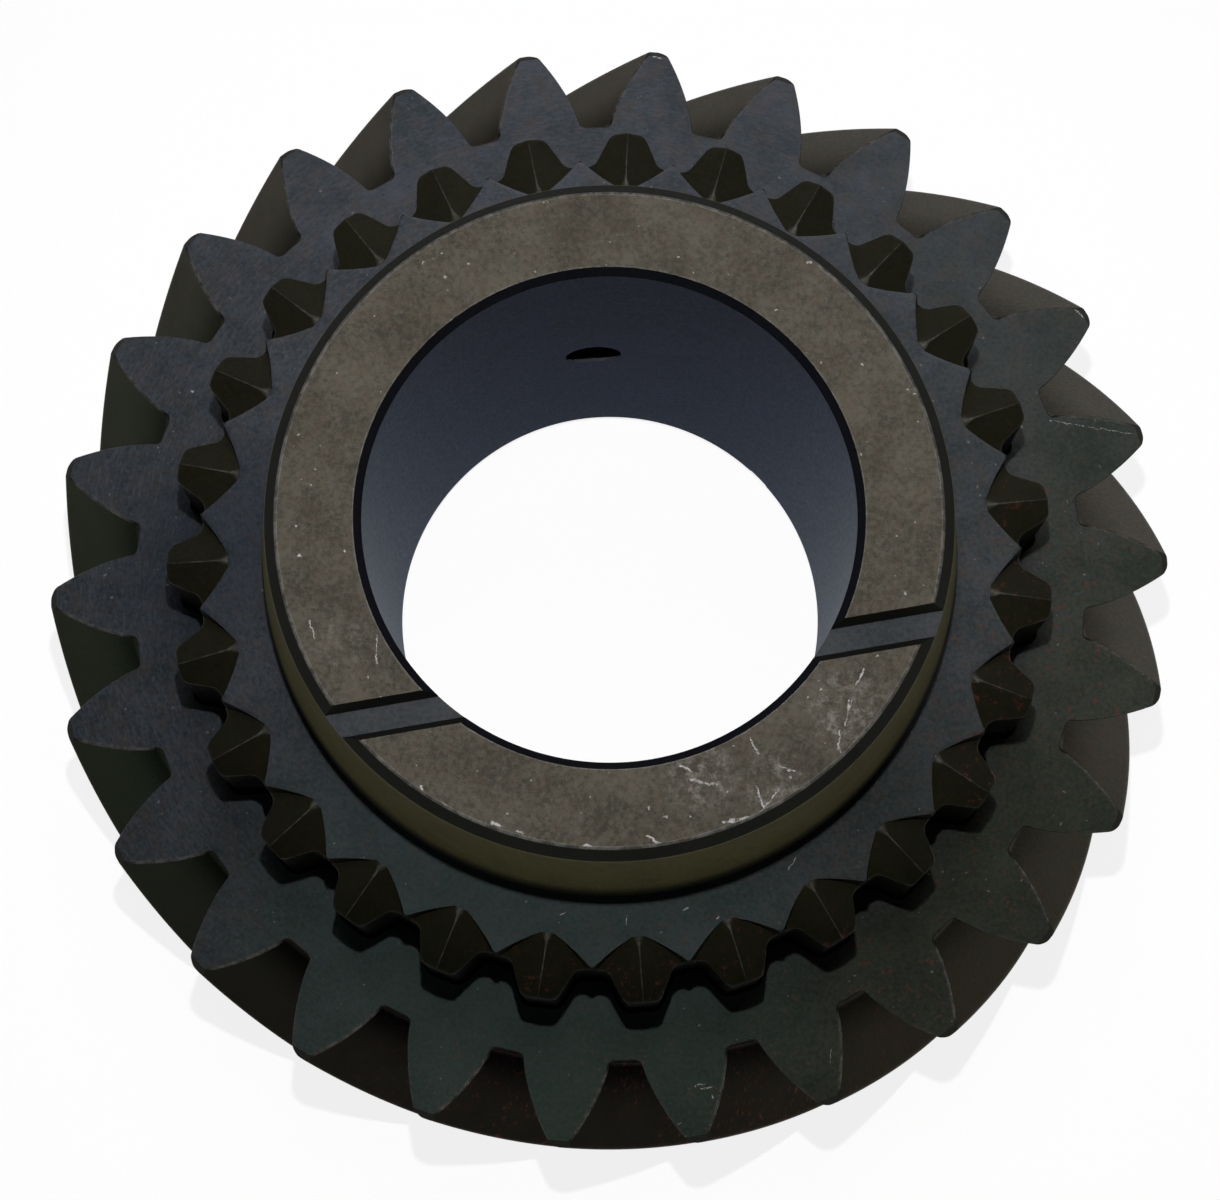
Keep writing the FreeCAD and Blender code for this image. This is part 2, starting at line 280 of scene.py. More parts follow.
def dog_half_outline():
    """Half of a dog tooth from above: tip, rounded corner, straight flank, fillet and floor."""
    tip_angle = DOG_TIP_HALF / DOG_TIP_RADIUS
    root_angle = DOG_ROOT_HALF / DOG_ROOT_RADIUS
    corner = np.array([DOG_TIP_RADIUS, tip_angle])
    foot = np.array([DOG_ROOT_RADIUS, root_angle])
    flank_length = math.hypot(DOG_TIP_RADIUS - DOG_ROOT_RADIUS, DOG_ROOT_HALF - DOG_TIP_HALF)
    flank_start = corner + (foot - corner) * DOG_TIP_ROUND / flank_length
    flank_end = foot + (corner - foot) * DOG_ROOT_ROUND / flank_length
    corner_start = (DOG_TIP_RADIUS, tip_angle - DOG_TIP_ROUND / DOG_TIP_RADIUS)
    fillet_end = (DOG_ROOT_RADIUS, root_angle + DOG_ROOT_ROUND / DOG_ROOT_RADIUS)
    ridge_end = (DOG_TIP_RADIUS, DOG_EDGE / DOG_TIP_RADIUS)
    return np.concatenate(
        [
            [(DOG_TIP_RADIUS, 0.0)],
            straight(ridge_end, corner_start, LAND_STEPS),
            curve(corner_start, corner, flank_start, CORNER_STEPS),
            straight(flank_start, flank_end, DOG_FLANK_STEPS),
            curve(flank_end, foot, fillet_end, FILLET_STEPS),
            straight(fillet_end, (DOG_ROOT_RADIUS, HALF_DOG_PITCH), FLOOR_STEPS),
            [(DOG_ROOT_RADIUS, HALF_DOG_PITCH)],
        ]
    )


def shoulder_lines():
    """Foot and brow of the arc-shaped step that the pointing cutter leaves beside each ridge.

    The arc lies in the roof plane; its foot is raised along the plane's normal to the ring face.
    Returns azimuth, radius and height of the foot, then azimuth and radius of the brow.
    """
    along = np.array([math.cos(RIDGE_FALL), 0.0, -math.sin(RIDGE_FALL)])
    lifted = np.array([math.sin(RIDGE_FALL), 0.0, math.cos(RIDGE_FALL)])
    level = np.array([0.0, 1.0, 0.0])
    sideways = level * math.cos(ROOF_SLOPE) - lifted * math.sin(ROOF_SLOPE)
    normal = lifted * math.cos(ROOF_SLOPE) + level * math.sin(ROOF_SLOPE)
    reach = DOG_ROOT_RADIUS * math.sin(HALF_DOG_PITCH) * math.cos(ROOF_SLOPE) + POINTING_MARGIN
    start = np.array([POINTING_START, 0.0])
    end = start + [math.tan(POINTING_LEAN) * reach, reach]
    chord = end - start
    length = np.hypot(*chord)
    sagitta = POINTING_CUTTER_RADIUS - math.sqrt(POINTING_CUTTER_RADIUS**2 - length**2 / 4)
    across = np.array([chord[1], -chord[0]]) / length
    pull = (start + end) / 2 - 2 * sagitta * across
    past_the_end = 1.25
    t = np.linspace(0.0, past_the_end, 80)[:, None]
    flat = (1 - t) ** 2 * start + 2 * t * (1 - t) * pull + t * t * end
    foot = [RIDGE_RADIUS, 0, RING_HEIGHT] + flat[:, :1] * along + flat[:, 1:] * sideways
    brow = foot + (RING_HEIGHT - foot[:, 2:]) / normal[2] * normal
    cut = foot[:, 2] <= RING_HEIGHT
    foot = foot[cut]
    brow = brow[cut]
    foot_azimuth = np.arctan2(foot[:, 1], foot[:, 0])
    brow_azimuth = np.arctan2(brow[:, 1], brow[:, 0])
    foot_radius = np.hypot(foot[:, 0], foot[:, 1])
    brow_radius = np.hypot(brow[:, 0], brow[:, 1])
    return foot_azimuth, foot_radius, foot[:, 2], brow_azimuth, brow_radius


FOOT_AZIMUTH, FOOT_RADIUS, FOOT_HEIGHT, BROW_AZIMUTH, BROW_RADIUS = shoulder_lines()


def roof_height(radius, azimuth):
    """Ring face inside the brow, the step's wall down to its foot, then the falling roof plane."""
    brow = np.interp(azimuth, BROW_AZIMUTH, BROW_RADIUS)
    foot = np.interp(azimuth, FOOT_AZIMUTH, FOOT_RADIUS)
    floor = np.interp(azimuth, FOOT_AZIMUTH, FOOT_HEIGHT)
    share = np.clip((radius - brow) / np.maximum(foot - brow, 0.001), 0, 1)
    wall = RING_HEIGHT - (RING_HEIGHT - floor) * share
    out = radius * np.cos(azimuth)
    side = radius * np.sin(azimuth)
    roof = RING_HEIGHT - math.tan(RIDGE_FALL) * (out - RIDGE_RADIUS)
    roof -= side * math.tan(ROOF_SLOPE) / math.cos(RIDGE_FALL)
    return np.where(radius < foot, wall, np.minimum(RING_HEIGHT, roof))


def every_dog(half_values):
    """Values along half a dog tooth mirrored and repeated for every dog tooth."""
    one = np.concatenate([half_values[:-1], half_values[:0:-1]])
    return np.tile(one, DOG_COUNT)


def mirrored_ring(radius, azimuth, height):
    """Half a dog tooth's rows mirrored and repeated round the gear, with their heights."""
    around, angle = all_round(np.column_stack([radius, azimuth]), DOG_COUNT, DOG_CLOCKING)
    return at_height(plan(around, angle), every_dog(height))


def dog_ring_loops():
    """Loops from the ring face over brow, step, roofs and edge, down the dog walls to the web."""
    half = dog_half_outline()
    out_radius, out_azimuth = half[:, 0], half[:, 1]
    after_ridge = np.linspace(FOOT_AZIMUTH[0], HALF_DOG_PITCH, len(half) - 1)
    azimuth = np.concatenate([[0.0], after_ridge])
    limit = np.interp(azimuth, out_azimuth, out_radius)
    brow = np.minimum(np.interp(azimuth, BROW_AZIMUTH, BROW_RADIUS), limit - BROW_INSET)
    foot = np.interp(azimuth, FOOT_AZIMUTH, FOOT_RADIUS)
    foot = np.minimum(np.maximum(foot, brow + STEP_WIDTH), limit - FOOT_INSET)
    face = np.full(len(half), RING_HEIGHT)
    loops = [(mirrored_ring(brow - inset, azimuth, face), "web", 0.0) for inset in BROW_SUPPORTS]
    below_brow = roof_height(brow, azimuth) - BROW_DROP
    # The step beside each ridge takes the dark wall finish as painted shade
    loops.append((mirrored_ring(brow, azimuth, below_brow), "dog_wall", 0.5))

    edge_radius = out_radius - DOG_EDGE
    on_ridge = np.where(np.arange(len(half)) < 1, 1.0, 0.0)
    for share in ROOF_SHARES:
        radius = (1 - share) * foot + share * edge_radius
        angle = (1 - share) * azimuth + share * out_azimuth
        land = (RIDGE_RADIUS - radius) * math.sin(RIDGE_FALL) / math.tan(ROOF_SLOPE)
        angle[1] = np.maximum(land, DOG_EDGE)[1] / radius[1]
        height = roof_height(radius, angle)
        drop = RIDGE_DROP * (radius[0] > RIDGE_RADIUS)
        height[0] = min(height[0], roof_height(radius[0], 0.0)) - drop
        # The ridge carries a painted highlight that dies away across the roof
        wear = every_dog(on_ridge * (1.0 - RIDGE_WEAR_LOST * share))
        loops.append((mirrored_ring(radius, angle, height), "dog_roof", wear))

    rim = roof_height(edge_radius, out_azimuth) - DOG_EDGE
    outline = mirrored_ring(out_radius, out_azimuth, rim)
    loops.append((outline, "dog_wall", 0.1))
    for share in WALL_SHARES:
        wall = outline.copy()
        wall[:, 2] = (1 - share) * outline[:, 2] + share * (FACE_WIDTH + DOG_FOOT_FILLET)
        loops.append((wall, "dog_wall", 0.0))
    # The foot fillet: a point on its bend, then where it meets the web
    for out, up, finish in ((0.3, 0.3, "dog_wall"), (1.0, 0.0, "web")):
        fillet = outset(outline[:, :2], out * DOG_FOOT_FILLET)
        loops.append((at_height(fillet, FACE_WIDTH + up * DOG_FOOT_FILLET), finish, 0.0))
    return loops


def tooth_loops():
    """Loops from the web over each tooth's end edge, down the helix and in under the back edge.

    The outline turns with depth by tan(helix) / pitch radius, counter-clockwise towards the back.
    A turned 45 degree cone takes the tips off: its height falls as the radius passes its start.
    """
    radius, angle = tooth_outline()
    lead = round((DOG_CLOCKING - TOOTH_CLOCKING) / (2 * math.pi / AROUND))
    outline = np.roll(plan(radius, angle), -lead, axis=0)
    radius = np.roll(radius, -lead)
    inside = outset(outline, -FLANK_CHAMFER)
    held = np.minimum(1.0, CHAMFER_START / np.hypot(inside[:, 0], inside[:, 1]))
    brink = inside * held[:, None]
    drop = np.maximum(FLANK_CHAMFER, radius - CHAMFER_START)
    below_tip = radius < CHAMFER_START
    place = np.roll(np.arange(AROUND) % (AROUND // TOOTH_COUNT), -lead)
    leading = (place < AROUND // TOOTH_COUNT // 2) & below_tip
    # Edges above the root are painted bright, partly as rubbing and partly as highlight, most on
    # the leading side
    worn = np.where(leading, 1.0, 0.25) * below_tip * (radius > ROOT_RADIUS + WORN_ABOVE_ROOT)
    twist = math.tan(HELIX) / PITCH_RADIUS

    def level(points, height, finish, wear):
        """The outline turned as the helix is at a height, with its finish, painted edge highlight
        and rubbing.
        """
        placed = turned(points, (FACE_WIDTH - height) * twist)
        return at_height(placed, height), finish, wear

    inward = 1 - FACE_SUPPORT_BY_TIP / np.hypot(brink[:, 0], brink[:, 1])
    behind_tip = brink * inward[:, None]
    behind_flank = outset(outline, -FACE_SUPPORT_BY_FLANK)
    support = np.where(below_tip[:, None], behind_flank, behind_tip)
    loops = [
        level(support, FACE_WIDTH, "web", 0.0),
        level(brink, FACE_WIDTH, "tip", worn),
        level(outline, FACE_WIDTH - drop, "flank", worn),
        level(outline, FACE_WIDTH - drop - EDGE_SUPPORT, "flank", 0.0),
    ]
    for height in np.linspace(FACE_WIDTH - HELIX_LOOP_INSET, HELIX_LOOP_INSET, HELIX_LOOPS):
        loops.append(level(outline, height, "flank", 0.0))
    loops.append(level(outline, drop + EDGE_SUPPORT, "flank", 0.0))
    loops.append(level(outline, drop, "tip", worn))
    loops.append(level(brink, 0.0, "web", worn))
    loops.append(level(support, 0.0, "web", 0.0))
    return loops


def soften(corners, sizes, worn, steps=3, guard=0.8):
    """Replaces each inner corner of an open line with a small quadratic curve of that size.

    A guard point stands before and after each curve, guard times its size away. Returns the
    points, the number of the corner that each one belongs to, and how much painted edge
    highlight and rubbing it carries.
    """
    rows = [corners[0]]
    belongs = [0]
    wear = [0.0]
    for index in range(1, len(corners) - 1):
        here = np.array(corners[index])
        back = np.subtract(corners[index - 1], here)
        forward = np.subtract(corners[index + 1], here)
        reach = sizes[index]
        back /= np.hypot(*back)
        forward /= np.hypot(*forward)
        start = here + back * reach
        end = here + forward * reach
        around = [start + back * guard * reach, *curve(start, here, end, steps), end]
        around.append(end + forward * guard * reach)
        rows.extend(around)
        belongs.extend([index - 1] + [index] * (len(around) - 1))
        wear.extend([0.0] + [worn[index]] * (len(around) - 2) + [0.0])
    rows.append(corners[-1])
    belongs.append(len(corners) - 1)
    wear.append(0.0)
    return np.array(rows), belongs, wear


def hub_loops():
    """Turned section from the back face up the bore, over the end face and down cone and neck.

    Each row gives a corner, the finish of the face after it, its rounding and how much painted
    edge highlight and rubbing it carries.
    """
    face_edge = CONE_TOP_RADIUS - CONE_CHAMFER
    chamfer_foot = TOTAL_HEIGHT - CONE_CHAMFER
    mouth = BORE_RADIUS + BORE_CHAMFER
    top_bore = TOTAL_HEIGHT - BORE_CHAMFER
    back_start = ROOT_RADIUS - 1.5
    ring_face_end = RIDGE_RADIUS - 3.0
    section = [
        ((back_start, 0.0), "web", 0.0, 0.0),
        ((mouth, 0.0), "chamfer", 0.08, 0.3),
        ((BORE_RADIUS, BORE_CHAMFER), "bore", 0.08, 0.0),
        ((BORE_RADIUS, top_bore), "mouth", 0.05, 0.1),
        ((mouth, TOTAL_HEIGHT), "ground", 0.05, 0.6),
        ((face_edge, TOTAL_HEIGHT), "chamfer", 0.11, 1.0),
        ((CONE_TOP_RADIUS, chamfer_foot), "cone", 0.06, 0.1),
        ((LIP_RADIUS, LIP_HEIGHT), "chamfer", 0.05, 0.0),
        ((NECK_RADIUS, LIP_HEIGHT + NECK_RADIUS - LIP_RADIUS), "chamfer", 0.05, 0.0),
        ((NECK_RADIUS, RING_HEIGHT), "web", NECK_FILLET, 0.0),
        ((ring_face_end, RING_HEIGHT), "web", 0.0, 0.0),
    ]
    corners = [row[0] for row in section]
    line, belongs, wear = soften(corners, [row[2] for row in section], [row[3] for row in section])
    azimuth = DOG_CLOCKING + 2 * math.pi * np.arange(HUB_AROUND) / HUB_AROUND
    loops = []
    for (radius, height), corner, worn in zip(line, belongs, wear):
        ring = at_height(plan(np.full(HUB_AROUND, radius), azimuth), height)
        loops.append((ring, section[corner][1], worn))
    return loops


def band_faces(first, count, around):
    """Quads between neighbouring loops, each loop holding the same number of points."""
    row = first + around * np.arange(count - 1)[:, None]
    here = np.arange(around)
    after = np.roll(here, -1)
    corners = [row + here, row + around + here, row + around + after, row + after]
    return np.stack(corners, axis=-1).reshape(-1, 4)


def gear_mesh():
    """One closed skin: turned hub loops, finer toothed loops, and two flat bands that join them."""
    hub = hub_loops()
    outer = dog_ring_loops()
    web_angle = DOG_CLOCKING + 2 * math.pi * np.arange(AROUND) / AROUND
    for radius in WEB_RADII:
        ring = plan(np.full(AROUND, radius), web_angle)
        outer.append((at_height(ring, FACE_WIDTH), "web", 0.0))
    outer.extend(tooth_loops())
    outer_start = HUB_AROUND * len(hub)
    hub_quads = band_faces(0, len(hub), HUB_AROUND)
    outer_quads = band_faces(outer_start, len(outer), AROUND)

    here = np.arange(HUB_AROUND)
    after = np.roll(here, -1)
    fine = HUB_SHARE * here
    fine_end = np.roll(fine, -1)
    hub_top = HUB_AROUND * (len(hub) - 1)
    last = outer_start + AROUND * (len(outer) - 1)
    over = [hub_top + here, outer_start + fine, outer_start + fine + 1]
    over += [outer_start + fine + 2, outer_start + fine_end, hub_top + after]
    under = [last + fine, here, after, last + fine_end, last + fine + 2, last + fine + 1]
    joins = np.concatenate([np.stack(over, axis=1), np.stack(under, axis=1)])

    points = np.concatenate([loop[0] for loop in hub + outer]) * MM
    wear = [np.broadcast_to(loop[2], (len(loop[0]),)) for loop in hub + outer]
    finish = [np.full(HUB_AROUND, FINISH[loop[1]]) for loop in hub[:-1]]
    finish += [np.full(AROUND, FINISH[loop[1]]) for loop in outer[:-1]]
    finish.append(np.full(len(joins), FINISH["web"]))
    faces = hub_quads.tolist() + outer_quads.tolist() + joins.tolist()
    mesh = bpy.data.meshes.new("gear_skin")
    mesh.from_pydata(points.tolist(), [], faces)
    mesh.polygons.foreach_set("material_index", np.concatenate(finish))
    # Per point: painted edge highlight and rubbing
    worn = mesh.attributes.new("wear", "FLOAT", "POINT")
    worn.data.foreach_set("value", np.concatenate(wear).astype(np.float32))
    return mesh


def prism(name, section, start, end, turn):
    """A straight bar: the section's (across, up) corners carried along a line in direction turn."""
    along = np.array([math.cos(turn), math.sin(turn), 0.0])
    across = np.array([-math.sin(turn), math.cos(turn), 0.0])
    up = np.array([0.0, 0.0, 1.0])
    ring = np.array([across * a + up * h for a, h in section])
    points = np.concatenate([ring + along * start, ring + along * end]) * MM
    count = len(section)
    here = np.arange(count)
    after = np.roll(here, -1)
    sides = np.stack([here, here + count, after + count, after], axis=1).tolist()
    ends = [here.tolist(), (here[::-1] + count).tolist()]
    mesh = bpy.data.meshes.new(name)
    mesh.from_pydata(points.tolist(), [], sides + ends)
    mesh.update()
    return mesh


def trapezoid(centre, face, up):
    """Cutter section, wide outside the face and narrower at the slot floor."""
    half = SLOT_WIDTH / 2
    lean = math.tan(SLOT_WALL_ANGLE)
    return [
        (centre - half - lean, face + up),
        (centre + half + lean, face + up),
        (centre + half - lean * SLOT_DEPTH, face - up * SLOT_DEPTH),
        (centre - half + lean * SLOT_DEPTH, face - up * SLOT_DEPTH),
    ]


def hole_section():
    """A round section at the height of the oil holes."""
    angle = 2 * math.pi * np.arange(HOLE_SIDES) / HOLE_SIDES
    across = OIL_HOLE_RADIUS * np.cos(angle)
    up = OIL_HOLE_HEIGHT + OIL_HOLE_RADIUS * np.sin(angle)
    return list(zip(across, up))


def cut_openings(gear):
    """Takes the slot, the oil holes and the back groove out of the gear."""
    reach = 2 * LIP_RADIUS
    slot = trapezoid(-SLOT_OFFSET, TOTAL_HEIGHT, 1)
    groove = trapezoid(0.0, 0.0, -1)
    cutters = [
        prism("slot_cutter", slot, -reach, reach, SLOT_TURN),
        prism("groove_cutter", groove, CUTTER_START, BACK_GROOVE_REACH, BACK_GROOVE_TURN),
    ]
    for index in range(OIL_HOLE_COUNT):
        turn = OIL_HOLE_TURN + 2 * math.pi * index / OIL_HOLE_COUNT
        end = DOG_TIP_RADIUS + 1
        cutters.append(prism("hole_cutter", hole_section(), CUTTER_START, end, turn))
    for cutter_mesh in cutters:
        cutter = bpy.data.objects.new(cutter_mesh.name, cutter_mesh)
        for material in gear.data.materials:
            cutter_mesh.materials.append(material)
        finish = np.full(len(cutter_mesh.polygons), FINISH["cut"])
        cutter_mesh.polygons.foreach_set("material_index", finish)
        bpy.context.scene.collection.objects.link(cutter)
        facing_out(cutter_mesh)
        cut = gear.modifiers.new("opening", "BOOLEAN")
        cut.operation = "DIFFERENCE"
        cut.solver = "EXACT"
        cut.object = cutter
        ready = bpy.context.evaluated_depsgraph_get()
        finished = bpy.data.meshes.new_from_object(gear.evaluated_get(ready))
        gear.modifiers.clear()
        gear.data = finished
        bpy.data.objects.remove(cutter)


def facing_out(mesh):
    """Makes every face of a closed cutter look away from its inside."""
    work = bmesh.new()
    work.from_mesh(mesh)
    bmesh.ops.recalc_face_normals(work, faces=work.faces)
    work.to_mesh(mesh)
    work.free()


def paint(red, green, blue):
    """An 8-bit screen colour as the linear colour a shader takes."""
    share = np.array([red, green, blue]) / 255
    linear = np.where(share <= 0.04045, share / 12.92, ((share + 0.055) / 1.055) ** 2.4)
    return (*linear.tolist(), 1.0)


WHITE = (1.0, 1.0, 1.0, 1.0)
BLACK = (0.0, 0.0, 0.0, 1.0)
RUST = paint(102, 54, 42)
DUST = paint(165, 163, 158)
SMUDGE = paint(160, 156, 150)
SCRATCH = paint(158, 157, 154)
# Colour of rubbed edges and of painted edge highlights
WORN_EDGE = paint(140, 138, 132)
BUMP_DEPTH = 0.00006


class Nodes:
    """Short calls that add and wire shader nodes in one material."""

    def __init__(self, material):
        material.use_nodes = True
        self.tree = material.node_tree
        self.tree.nodes.clear()

    def add(self, kind, inputs=(), **settings):
        """A node whose inputs are wired to a socket or set to a value."""
        node = self.tree.nodes.new(kind)
        for name, value in settings.items():
            setattr(node, name, value)
        for key, value in dict(inputs).items():
            socket = node.inputs[key]
            if isinstance(value, bpy.types.NodeSocket):
                self.tree.links.new(value, socket)
            else:
                socket.default_value = value
        return node

    def math(self, operation, first, second=0.0, third=0.0):
        inputs = {0: first, 1: second, 2: third}
        return self.add("ShaderNodeMath", inputs, operation=operation).outputs[0]

    def product(self, first, second):
        return self.math("MULTIPLY", first, second)

    def noise(self, place, scale, detail=3.0, roughness=0.5):
        inputs = {"Vector": place, "Scale": scale, "Detail": detail, "Roughness": roughness}
        return self.add("ShaderNodeTexNoise", inputs).outputs["Fac"]

    def between(self, value, low, high, start=0.0, end=1.0):
        """A smooth step from start to end while the value goes from low to high."""
        inputs = {"Value": value, "From Min": low, "From Max": high, "To Min": start, "To Max": end}
        node = self.add("ShaderNodeMapRange", inputs, interpolation_type="SMOOTHSTEP")
        return node.outputs["Result"]

    def mix(self, share, first, second):
        """The first colour, with the second laid over it by the share."""
        inputs = {"Factor": share, 6: first, 7: second}
        return self.add("ShaderNodeMix", inputs, data_type="RGBA").outputs[2]


class Spot:
    """The shaded point, in millimetres from the bore axis and above the back face.

    lower_right grows towards the right and the near side of the photo. outer goes from a small
    share on the ring face to one at the teeth.
    """

    def __init__(self, nodes):
        place = nodes.add("ShaderNodeTexCoord").outputs["Object"]
        scaling = {0: place, "Scale": 1 / MM}
        scaled = nodes.add("ShaderNodeVectorMath", scaling, operation="SCALE")
        self.metric = scaled.outputs[0]
        self.x, self.y, self.z = nodes.add("ShaderNodeSeparateXYZ", {0: self.metric}).outputs
        self.radius = nodes.math("SQRT", sum_of_squares(nodes, self.y, self.x))
        self.azimuth = nodes.math("ARCTAN2", self.y, self.x)
        self.lower_right = nodes.math("SUBTRACT", self.x, self.y)
        self.outer = nodes.between(self.radius, 32.0, 41.0, 0.3, 1.0)


def sum_of_squares(nodes, first, second):
    """First times first plus second times second."""
    return nodes.math("MULTIPLY_ADD", first, first, nodes.product(second, second))


def distance_squared(nodes, spot, centre):
    """Square of the plan distance from a centre."""
    off_x = nodes.math("SUBTRACT", spot.x, centre[0])
    off_y = nodes.math("SUBTRACT", spot.y, centre[1])
    return sum_of_squares(nodes, off_x, off_y)


def stroke_mask(nodes, x, y, stroke):
    """A scratch from one plan point to another: one where the distance to the line is small."""
    (ax, ay), (bx, by), width = stroke
    dx, dy = bx - ax, by - ay
    length = dx * dx + dy * dy
    from_x = nodes.math("SUBTRACT", x, ax)
    from_y = nodes.math("SUBTRACT", y, ay)
    dot = nodes.math("MULTIPLY_ADD", from_x, dx / length, nodes.product(from_y, dy / length))
    share = nodes.math("MINIMUM", nodes.math("MAXIMUM", dot, 0.0), 1.0)
    off_x = nodes.math("MULTIPLY_ADD", share, -dx, from_x)
    off_y = nodes.math("MULTIPLY_ADD", share, -dy, from_y)
    off = sum_of_squares(nodes, off_x, off_y)
    return nodes.between(off, width * width, 0.1 * width * width)


def mottled(nodes, spot, grain, dark, light, marks):
    """Patches and grain between dark and light, then the wide changes of colour over the gear, some
    of them painted shade.
    """
    patch_share = 0.38
    patches = nodes.noise(spot.metric, 0.22, 5.0, 0.62)
    weighed_grain = nodes.product(grain, 1 - patch_share)
    mottle = nodes.math("ADD", nodes.product(patches, patch_share), weighed_grain)
    spread = marks.get("contrast", 0.2)
    share = nodes.between(mottle, 0.5 - spread, 0.5 + spread)
    colour = nodes.mix(share, dark, light)
    if "tint" in marks:
        tint_colour, tint_share = marks["tint"]
        cloud = nodes.noise(spot.metric, 0.7, 4.0, 0.65)
        colour = nodes.mix(nodes.between(cloud, 0.44, 0.62, 0.0, tint_share), colour, tint_colour)
    if "olive" in marks:
        drift = nodes.between(spot.lower_right, -35.0, 65.0, 0.0, 0.9)
        olive = nodes.mix(share, *marks["olive"])
        colour = nodes.mix(nodes.product(drift, spot.outer), colour, olive)
    # On the cone, the lower colour is painted shade at its foot
    if "low" in marks:
        (below, above), low_colours = marks["low"]
        low = nodes.mix(share, *low_colours)
        colour = nodes.mix(nodes.between(spot.z, above, below), colour, low)
    # Painted shade: the colour darkens towards the near edge, most on the teeth
    if "fade" in marks:
        lost, lean = marks["fade"]
        slanted = nodes.math("MULTIPLY_ADD", spot.x, lean, spot.y)
        loss = nodes.between(slanted, -50.0, 30.0, lost, 0.0)
        colour = nodes.mix(nodes.product(loss, spot.outer), colour, BLACK)
    # Painted shade: the colour darkens towards the tooth roots
    if "root_shade" in marks:
        lowest, highest = ROOT_RADIUS - 0.5, ROOT_RADIUS + 5.0
        deep = nodes.between(spot.radius, lowest, highest, marks["root_shade"], 0.0)
        colour = nodes.mix(deep, colour, BLACK)
    return colour


def turning_marks(nodes, spot):
    """Noise that changes fast with the radius and slowly along the azimuth."""
    stretched = {
        0: nodes.product(spot.radius, 4.5),
        1: nodes.product(spot.azimuth, 45.0),
        2: spot.z,
    }
    place = nodes.add("ShaderNodeCombineXYZ", stretched).outputs[0]
    return nodes.noise(place, 1.0, 3.0, 0.6)


def soiled(nodes, spot, colour, marks):
    """Rust specks, wide tone patches, pale smudges and dust laid over a colour, in that order."""
    if "rust" in marks:
        specks = nodes.between(nodes.noise(spot.metric, 1.3, 6.0, 0.75), 0.57, 0.65)
        region = nodes.between(nodes.noise(spot.metric, 0.11, 2.0), 0.42, 0.56)
        side = nodes.between(spot.lower_right, 10.0, 55.0)
        amount = nodes.product(specks, nodes.product(region, side))
        colour = nodes.mix(nodes.product(amount, marks["rust"]), colour, RUST)
    # Wide soft patches of colour; those on the tooth flanks are painted shade
    for centre, reach, stain, strength in marks.get("stains", ()):
        off = distance_squared(nodes, spot, centre)
        colour = nodes.mix(nodes.between(off, reach * reach, 0.0, 0.0, strength), colour, stain)
    for centre, reach, strength in marks.get("smudges", ()):
        near = nodes.between(distance_squared(nodes, spot, centre), reach * reach, 0.0)
        cloud = nodes.noise(spot.metric, 1.1, 7.0, 0.8)
        cloud = nodes.between(cloud, 0.46, 0.66, 0.0, strength)
        colour = nodes.mix(nodes.product(near, cloud), colour, SMUDGE)
    if "dust" in marks:
        fleck = nodes.between(nodes.noise(spot.metric, 1.9, 1.0), 0.765, 0.79)
        colour = nodes.mix(nodes.product(fleck, marks["dust"]), colour, DUST)
    return colour


def scratched(nodes, spot, colour, marks):
    """Ragged strokes over a colour: each plan point is shifted by noise, long strokes are broken.

    The strokes fade out just above the back face, so that none of them shows there.
    """
    if "scratches" not in marks:
        return colour
    broken = nodes.between(nodes.noise(spot.metric, 3.4, 4.0, 0.75), 0.4, 0.56, 0.08, 1.0)
    shift = 0.7
    shift_x = nodes.noise(spot.metric, 1.7, 4.0, 0.7)
    shift_y = nodes.noise(spot.metric, 2.1, 4.0, 0.7)
    ragged_x = nodes.math("MULTIPLY_ADD", shift_x, shift, spot.x)
    ragged_y = nodes.math("MULTIPLY_ADD", shift_y, shift, spot.y)
    ragged_x = nodes.math("SUBTRACT", ragged_x, shift / 2)
    ragged_y = nodes.math("SUBTRACT", ragged_y, shift / 2)
    front_only = nodes.between(spot.z, 1.0, 2.0)
    longest_whole = 0.5
    for stroke in marks["scratches"]:
        mask = nodes.product(stroke_mask(nodes, ragged_x, ragged_y, stroke), front_only)
        if math.dist(stroke[0], stroke[1]) > longest_whole:
            mask = nodes.product(mask, broken)
        colour = nodes.mix(mask, colour, marks.get("bare", SCRATCH))
    return colour


